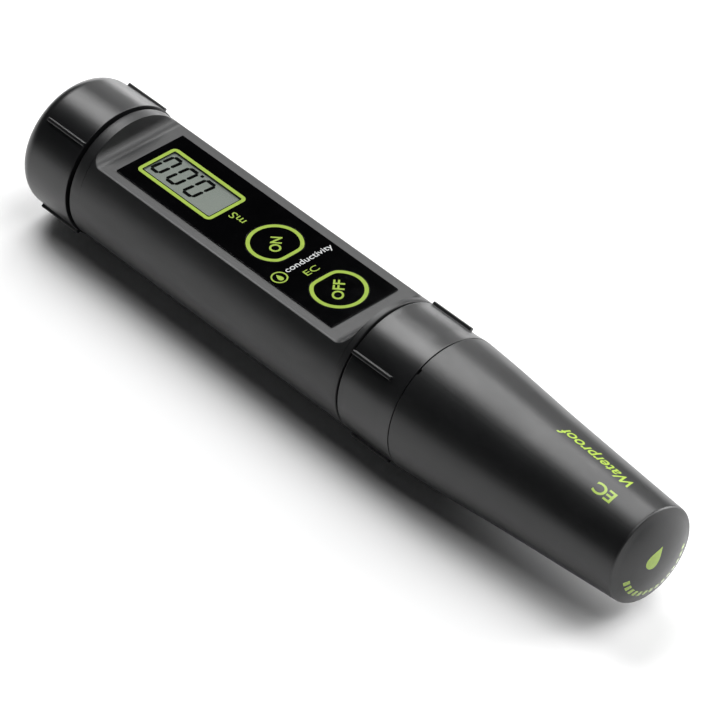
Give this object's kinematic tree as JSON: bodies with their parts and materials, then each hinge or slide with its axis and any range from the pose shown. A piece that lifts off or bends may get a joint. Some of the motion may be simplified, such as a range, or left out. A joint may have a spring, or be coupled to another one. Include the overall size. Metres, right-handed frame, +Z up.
{
  "type": "pocket conductivity tester",
  "caption": "Waterproof pen-shaped water tester with a small display, two keys, a screw-off battery cap and a pull-off cap over its probe.",
  "frame": {"origin": "under the middle of the pen's length, on the surface that it lies on", "axes": "+X along the pen from the battery cap to the tip of the protective cap, +Z up out of the keypad panel, +Y across"},
  "size_m": [0.2, 0.0352, 0.0352],
  "materials": {
    "housing_plastic": "fine-grained satin black ABS",
    "cap_plastic": "smooth satin black ABS",
    "sleeve_plastic": "satin black ABS",
    "overlay_film": "gloss black polyester film",
    "print_lime": "lime green printing ink",
    "print_white": "white printing ink",
    "window_clear": "clear acrylic",
    "lcd_glass": "grey-green reflective liquid crystal display",
    "lcd_segment": "dark display segment",
    "inner_plastic": "plain moulded nylon",
    "elastomer": "striped silicone connector",
    "board_green": "solder mask on glass epoxy",
    "chip_plastic": "moulded epoxy",
    "capacitor_jacket": "shrink sleeve",
    "trimmer_blue": "moulded thermoset",
    "tin_plate": "tin plated",
    "screw_steel": "zinc plated",
    "spring_steel": "drawn wire",
    "cell_steel": "nickel plated can",
    "contact_brass": "gold flashed",
    "seal_rubber": "nitrile rubber",
    "probe_plastic": "dark grey ABS",
    "graphite": "pressed graphite",
    "stainless": "polished stainless steel"
  },
  "bodies": {
    "housing": {"housing": "housing_plastic", "keypad_overlay": "overlay_film", "display_window": "window_clear", "lcd_panel": "lcd_glass", "lcd_frame": "inner_plastic", "lcd_connector_near": "elastomer", "lcd_connector_far": "elastomer", "circuit_board": "board_green", "board_screw_1": "screw_steel", "board_screw_2": "screw_steel", "board_screw_3": "screw_steel", "board_screw_4": "screw_steel", "controller_chip": "chip_plastic", "clock_crystal": "tin_plate", "buffer_capacitor": "capacitor_jacket", "board_socket": "chip_plastic", "on_switch": "tin_plate", "off_switch": "tin_plate", "trimmer_body": "trimmer_blue", "battery_well": "inner_plastic", "battery_contact_pin": "contact_brass", "battery_contact_strip": "contact_brass", "neck_seal": "seal_rubber"},
    "trimmer_screw": {"trimmer_screw": "contact_brass"},
    "on_key": {"on_key": "overlay_film"},
    "off_key": {"off_key": "overlay_film"},
    "battery_carrier": {"battery_carrier": "inner_plastic", "battery_cell_1": "cell_steel", "battery_cell_2": "cell_steel", "battery_cell_3": "cell_steel", "battery_cell_4": "cell_steel", "carrier_spring": "spring_steel"},
    "battery_cap": {"battery_cap": "cap_plastic"},
    "probe_module": {"probe_body": "probe_plastic", "probe_plug": "contact_brass", "probe_seal": "seal_rubber", "electrode_near": "graphite", "electrode_far": "graphite", "temperature_sensor": "stainless"},
    "collar_ring": {"collar_ring": "cap_plastic"},
    "protective_cap": {"protective_cap": "sleeve_plastic"}
  },
  "joints": [
    {"name": "carrier_draw", "type": "slide", "parent": "housing", "child": "battery_carrier", "axis": [-1, 0, 0], "range_m": [0, 0.0151]},
    {"name": "cap_turn", "type": "hinge", "parent": "battery_carrier", "child": "battery_cap", "pos_m": [-0.04, 0, 0.0176], "axis": [-1, 0, 0], "range_deg": [0, 900]},
    {"name": "probe_draw", "type": "slide", "parent": "housing", "child": "probe_module", "axis": [1, 0, 0], "range_m": [0, 0.0151]},
    {"name": "ring_turn", "type": "hinge", "parent": "probe_module", "child": "collar_ring", "pos_m": [-0.04, 0, 0.0176], "axis": [1, 0, 0], "range_deg": [0, 900]},
    {"name": "cap_pull", "type": "slide", "parent": "probe_module", "child": "protective_cap", "axis": [1, 0, 0], "range_m": [0, 0.075]},
    {"name": "on_press", "type": "slide", "parent": "housing", "child": "on_key", "axis": [0, 0, -1], "range_m": [0, 0.0003], "stiffness_N_per_m": 500},
    {"name": "off_press", "type": "slide", "parent": "housing", "child": "off_key", "axis": [0, 0, -1], "range_m": [0, 0.0003], "stiffness_N_per_m": 500},
    {"name": "trimmer_turn", "type": "hinge", "parent": "housing", "child": "trimmer_screw", "pos_m": [-0.088, 0.0092, 0.0222], "axis": [1, 0, 0], "range_deg": [-135, 135]}
  ],
  "couplings": [
    {"joint": "carrier_draw", "follows": "cap_turn", "m_per_rad": 0.00095493},
    {"joint": "probe_draw", "follows": "ring_turn", "m_per_rad": 0.00095493}
  ]
}
